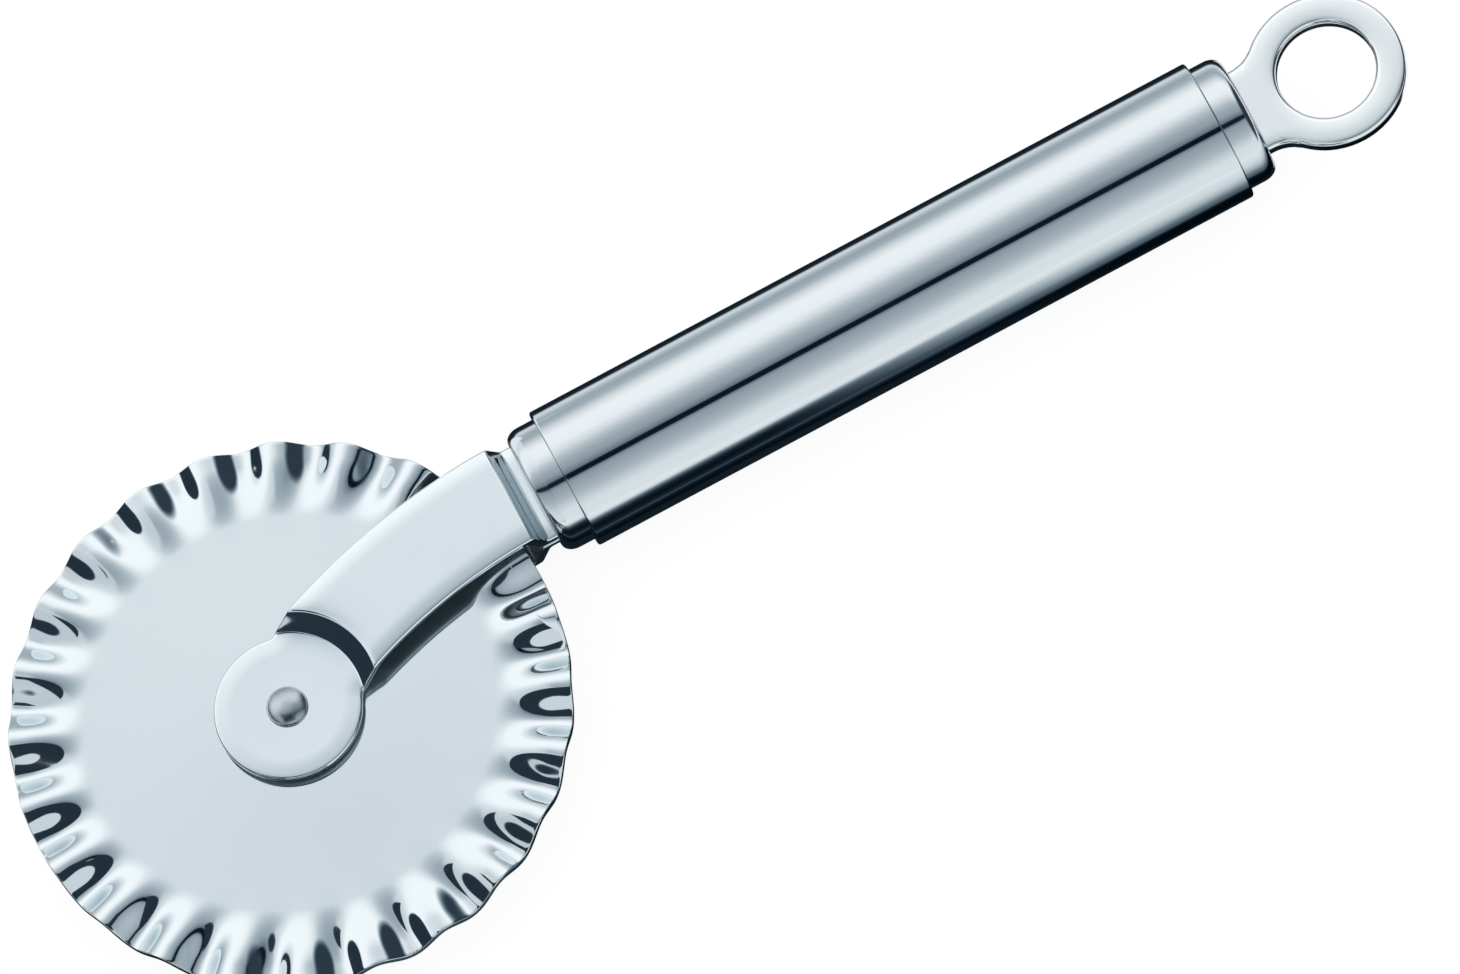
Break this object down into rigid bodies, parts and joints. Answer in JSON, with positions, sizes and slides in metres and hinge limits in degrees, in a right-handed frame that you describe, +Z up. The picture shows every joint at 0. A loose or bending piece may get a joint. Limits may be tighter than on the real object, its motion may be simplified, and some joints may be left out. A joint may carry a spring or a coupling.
{
  "type": "fluted pastry wheel",
  "caption": "Hand-held pastry wheel: a fluted steel disc spins on a riveted sheet fork at the end of a round hollow handle with a flat hanging ring.",
  "frame": {"origin": "bottom centre of the bounding box of the tool lying flat, so the handle's tube touches the plane z = 0", "axes": "+X along the handle from the wheel to the hanging ring, +Z up along the wheel's axle, +Y from the wheel's axle towards the handle's axis"},
  "size_m": [0.1944, 0.07, 0.0184],
  "materials": {
    "wheel_steel": "stainless sheet, mirror polished",
    "fork_steel": "stainless sheet, finely polished",
    "rivet_steel": "stainless, peened head, satin",
    "axle_steel": "stainless, turned",
    "handle_steel": "stainless tube, polished with a fine lengthwise grain",
    "cap_steel": "stainless, turned and polished",
    "ring_steel": "stainless plate, tumbled and polished",
    "pin_steel": "stainless, ground",
    "seal_rubber": "black rubber, matt"
  },
  "bodies": {
    "handle": {"axle_bush": "axle_steel", "upper_washer": "axle_steel", "lower_washer": "axle_steel", "axle_rivet": "rivet_steel", "upper_fork_arm": "fork_steel", "lower_fork_arm": "fork_steel", "handle_tube": "handle_steel", "front_cap": "cap_steel", "front_seal_ring": "seal_rubber", "tang_pins": "pin_steel", "rear_cap": "cap_steel", "rear_seal_ring": "seal_rubber", "ring_pin": "pin_steel", "hanging_ring": "ring_steel"},
    "wheel": {"fluted_wheel": "wheel_steel"}
  },
  "joints": [
    {"name": "wheel_spin", "type": "hinge", "parent": "handle", "child": "wheel", "pos_m": [-0.0622, 0, 0.00923], "axis": [0, 0, 1], "continuous": true}
  ]
}
